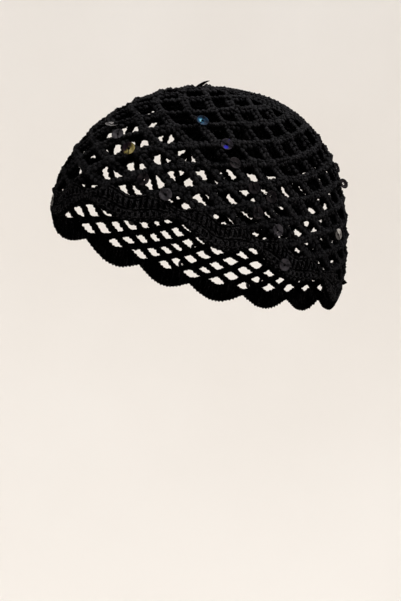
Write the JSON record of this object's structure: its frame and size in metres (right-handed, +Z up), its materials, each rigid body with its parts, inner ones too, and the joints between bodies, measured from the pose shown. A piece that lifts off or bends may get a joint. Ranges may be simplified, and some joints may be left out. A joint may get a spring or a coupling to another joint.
{
  "type": "crochet cap",
  "caption": "Soft openwork crochet bandana cap: dense round crown, stretched diamond net, scalloped border and sewn-on round sequins",
  "frame": {"origin": "on the inside of the crown, where the cap rests on the top of the wearer's head", "axes": "+Z up along the wearer's head; -Y to the forehead, +Y to the nape; +X to the wearer's left"},
  "size_m": [0.1585, 0.197, 0.1456],
  "materials": {
    "yarn_crown": "matt black knitting yarn, worked densely",
    "yarn_net": "matt black knitting yarn, worked as chains",
    "yarn_border": "matt black knitting yarn, worked as upright stitches",
    "sequin": "smooth dark plastic film with a shifting sheen"
  },
  "bodies": {
    "root": {"crown": "yarn_crown", "net": "yarn_net", "scallop_border": "yarn_border", "sequin_near_01": "sequin", "sequin_near_02": "sequin", "sequin_near_03": "sequin", "sequin_near_04": "sequin", "sequin_near_05": "sequin", "sequin_near_06": "sequin", "sequin_near_07": "sequin", "sequin_near_08": "sequin", "sequin_near_09": "sequin", "sequin_near_10": "sequin", "sequin_near_11": "sequin", "sequin_near_12": "sequin", "sequin_near_13": "sequin", "sequin_near_14": "sequin", "sequin_near_15": "sequin", "sequin_near_16": "sequin", "sequin_far_01": "sequin", "sequin_far_02": "sequin", "sequin_far_03": "sequin", "sequin_far_04": "sequin", "sequin_far_05": "sequin", "sequin_far_06": "sequin", "sequin_far_07": "sequin", "sequin_far_08": "sequin", "sequin_far_09": "sequin", "sequin_far_10": "sequin", "sequin_far_11": "sequin", "sequin_far_12": "sequin", "sequin_far_13": "sequin", "sequin_far_14": "sequin", "sequin_far_15": "sequin", "sequin_far_16": "sequin"}
  },
  "joints": []
}
